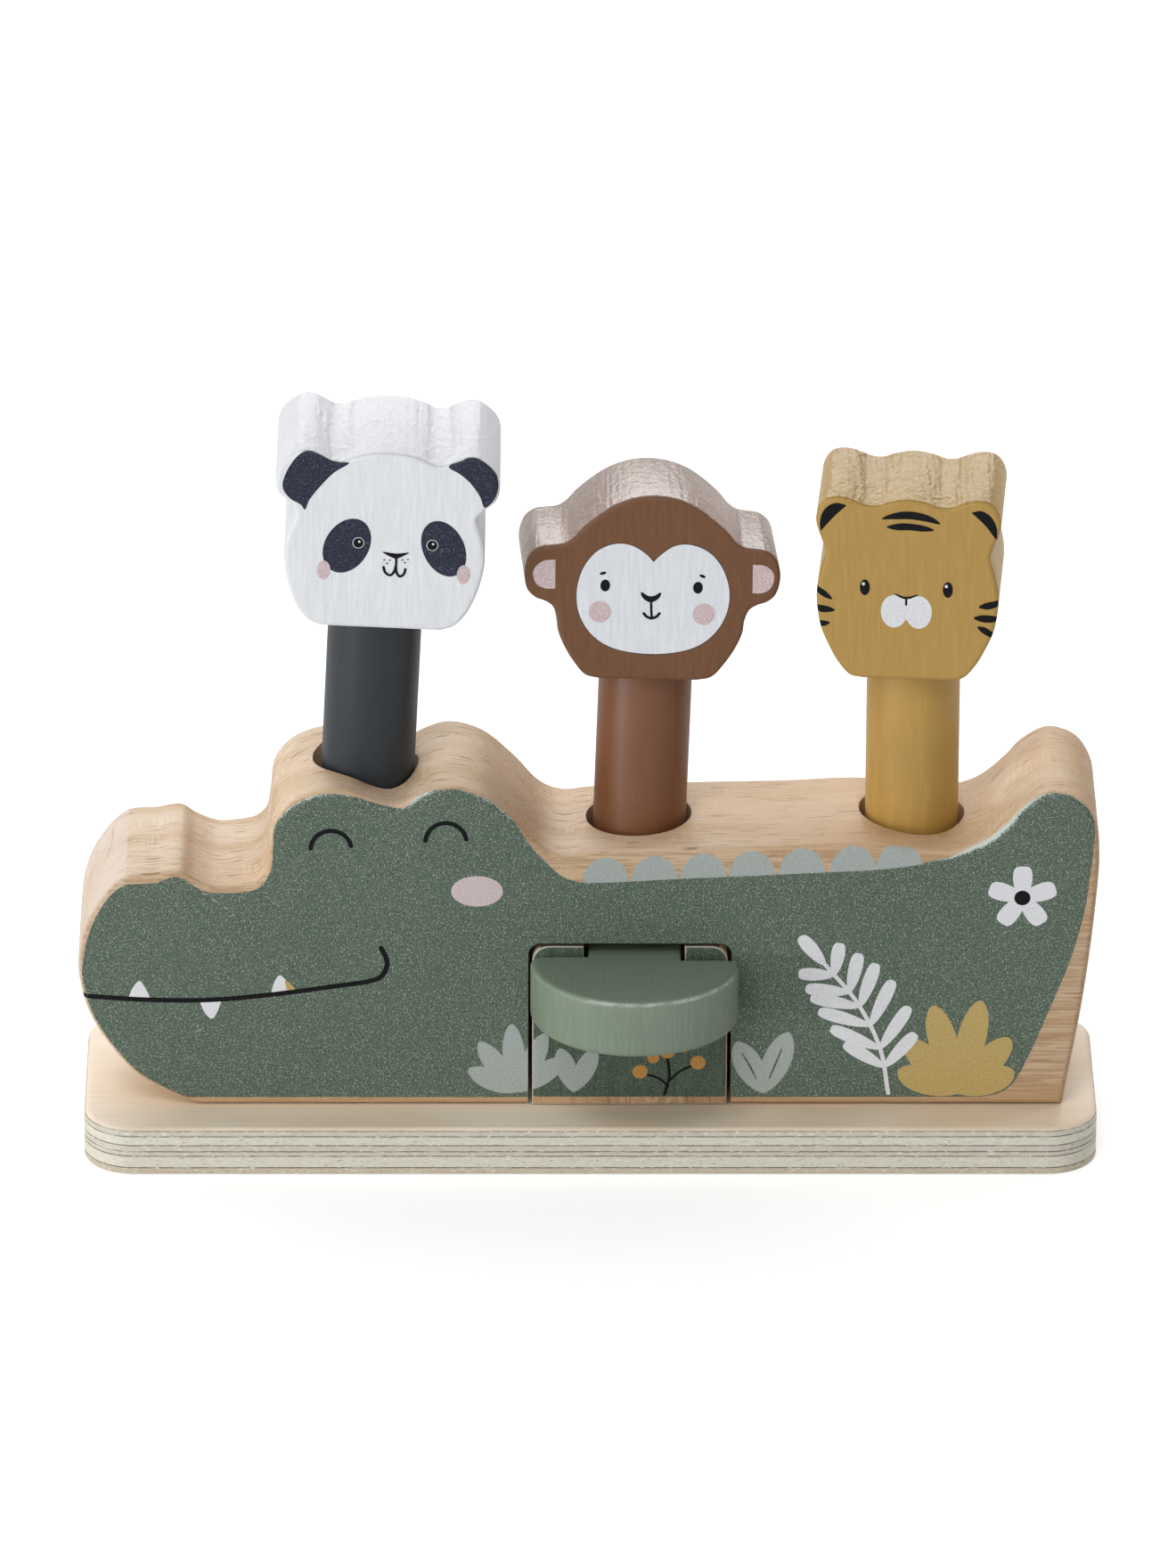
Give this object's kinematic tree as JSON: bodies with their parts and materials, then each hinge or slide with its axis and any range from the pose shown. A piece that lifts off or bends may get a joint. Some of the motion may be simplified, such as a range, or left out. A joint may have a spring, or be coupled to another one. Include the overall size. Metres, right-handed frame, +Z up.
{
  "type": "pop up animal toy",
  "caption": "Wooden pop-up toy: a crocodile-shaped block on a plate, with a half-round press paddle that lifts animal heads on sticks in holes through its back.",
  "frame": {"origin": "middle of the plywood base's underside", "axes": "+Z up, -Y the front that the animals' faces look towards, +X towards the crocodile's raised tail"},
  "size_m": [0.241, 0.0786, 0.1843],
  "materials": {
    "beech": "satin lacquered beech, with a green print on the front",
    "plywood": "satin lacquered birch plywood",
    "plain_beech": "plain beech",
    "panel_green": "green print on beech",
    "paddle_green": "satin green paint",
    "white_paint": "satin white paint",
    "slate_paint": "satin slate paint",
    "tan_paint": "satin brown paint",
    "brown_paint": "satin dark brown paint",
    "mustard_paint": "satin mustard paint",
    "ochre_paint": "satin ochre paint",
    "steel": "zinc-plated steel"
  },
  "bodies": {
    "frame": {"plywood_base": "plywood", "crocodile_body": "beech", "front_block": "panel_green", "pivot_pin": "steel", "stop_post_left": "plain_beech", "stop_post_right": "plain_beech", "body_screw_1": "steel", "body_screw_2": "steel", "body_screw_3": "steel", "body_screw_4": "steel", "block_screw_1": "steel", "block_screw_2": "steel"},
    "lever": {"press_paddle": "paddle_green", "lift_bar": "plain_beech", "kicker_panda": "plain_beech", "kicker_monkey": "plain_beech", "kicker_tiger": "plain_beech"},
    "panda_figure": {"panda_stick": "slate_paint", "panda_peg": "plain_beech"},
    "panda_face": {"panda_head": "white_paint"},
    "monkey_figure": {"monkey_stick": "tan_paint", "monkey_peg": "plain_beech"},
    "monkey_face": {"monkey_head": "brown_paint"},
    "tiger_figure": {"tiger_stick": "mustard_paint", "tiger_peg": "plain_beech"},
    "tiger_face": {"tiger_head": "ochre_paint"}
  },
  "joints": [
    {"name": "paddle_tilt", "type": "hinge", "parent": "frame", "child": "lever", "pos_m": [0.0102, -0.0135, 0.0447], "axis": [1, 0, 0], "range_deg": [0, 25]},
    {"name": "panda_rise", "type": "slide", "parent": "frame", "child": "panda_figure", "axis": [0.0452, -0.0802, 0.9958], "range_m": [0, 0.0073]},
    {"name": "panda_turn", "type": "hinge", "parent": "panda_figure", "child": "panda_face", "pos_m": [-0.0506, -0.00301, 0.13643], "axis": [0.0452, -0.0802, 0.9958], "continuous": true},
    {"name": "monkey_rise", "type": "slide", "parent": "frame", "child": "monkey_figure", "axis": [0.0356, 0.0976, 0.9946], "range_m": [0, 0.0062]},
    {"name": "monkey_turn", "type": "hinge", "parent": "monkey_figure", "child": "monkey_face", "pos_m": [0.01288, 0.00594, 0.11654], "axis": [0.0356, 0.0976, 0.9946], "continuous": true},
    {"name": "tiger_rise", "type": "slide", "parent": "frame", "child": "tiger_figure", "axis": [0, -0.0052, 1], "range_m": [0, 0.0069]},
    {"name": "tiger_turn", "type": "hinge", "parent": "tiger_figure", "child": "tiger_face", "pos_m": [0.0758, 0.00135, 0.12017], "axis": [0, -0.0052, 1], "continuous": true}
  ],
  "couplings": [
    {"joint": "panda_rise", "follows": "paddle_tilt", "m_per_rad": 0.0166},
    {"joint": "monkey_rise", "follows": "paddle_tilt", "m_per_rad": 0.014},
    {"joint": "tiger_rise", "follows": "paddle_tilt", "m_per_rad": 0.0156}
  ]
}
